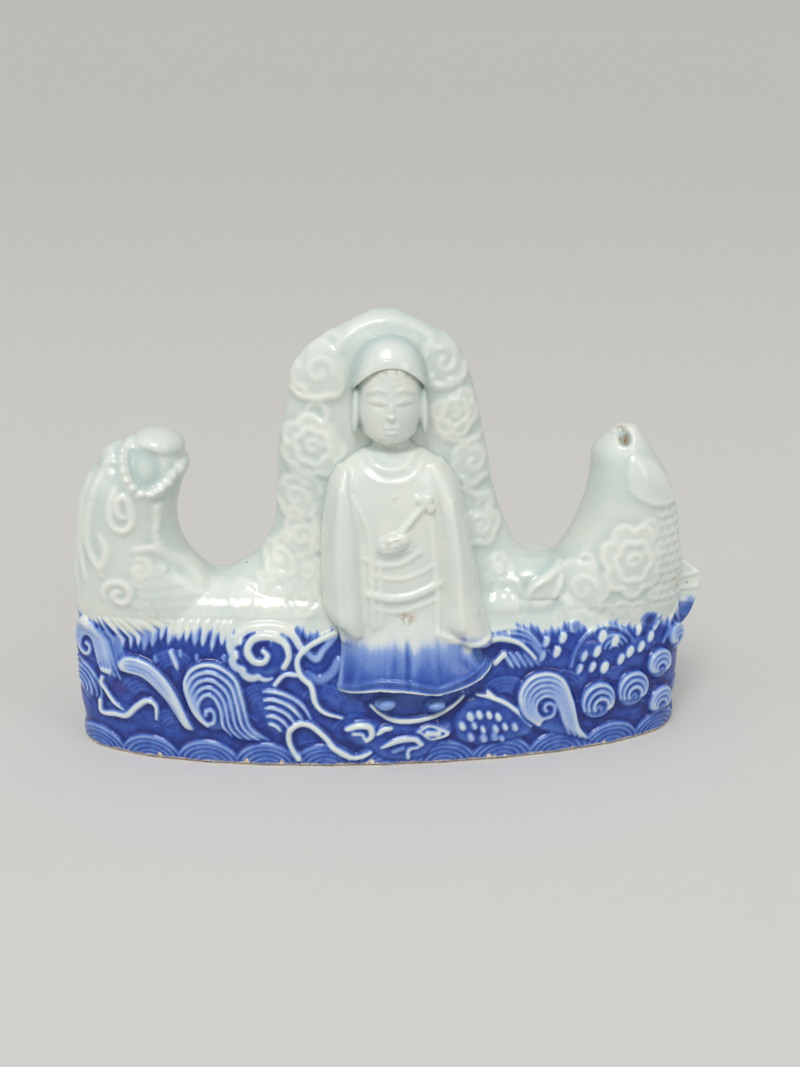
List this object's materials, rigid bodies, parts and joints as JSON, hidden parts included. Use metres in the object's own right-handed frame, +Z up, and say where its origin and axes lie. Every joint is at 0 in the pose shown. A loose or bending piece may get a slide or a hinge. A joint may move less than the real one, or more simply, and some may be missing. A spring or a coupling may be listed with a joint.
{
  "type": "brush rest",
  "caption": "Three-peaked porcelain rest for writing brushes, with two saddles, a standing robed figure, a dragon's head, a carp's head and a band of waves.",
  "frame": {"origin": "centre of the flat foot, on the surface that the rest stands on", "axes": "+X to the right as seen from the front, along the rest; +Y from the front (the figure's side) to the back; +Z up"},
  "size_m": [0.1238, 0.0378, 0.0844],
  "materials": {
    "white_porcelain": "glossy, faintly blue-green glaze",
    "cobalt_porcelain": "glossy glaze over cobalt blue",
    "washed_cobalt_porcelain": "glossy glaze, white above and thin cobalt wash below",
    "unglazed_foot": "bare biscuit, matt"
  },
  "bodies": {
    "root": {"back_shell": "white_porcelain", "base_slab": "unglazed_foot", "beast_back": "cobalt_porcelain", "beast_fin": "cobalt_porcelain", "beast_head": "cobalt_porcelain", "beast_whiskers": "cobalt_porcelain", "cap": "white_porcelain", "carp_fin": "white_porcelain", "carp_gill_covers": "white_porcelain", "carp_head": "white_porcelain", "clouds_back": "white_porcelain", "clouds_front": "white_porcelain", "dragon_head": "white_porcelain", "dragon_jaw": "white_porcelain", "dragon_mane": "white_porcelain", "dragon_teeth": "white_porcelain", "figure_head": "white_porcelain", "foam_crests": "cobalt_porcelain", "foam_swirl": "cobalt_porcelain", "front_shell": "white_porcelain", "hand": "white_porcelain", "left_sleeve": "white_porcelain", "right_sleeve": "white_porcelain", "robe": "washed_cobalt_porcelain", "sash": "white_porcelain", "sash_ribbon": "cobalt_porcelain", "sceptre": "white_porcelain", "shoes": "cobalt_porcelain", "water_drops_back": "cobalt_porcelain", "water_drops_front": "cobalt_porcelain", "wave_cradle": "cobalt_porcelain", "wave_curls_back": "cobalt_porcelain", "wave_curls_front": "cobalt_porcelain"}
  },
  "joints": []
}
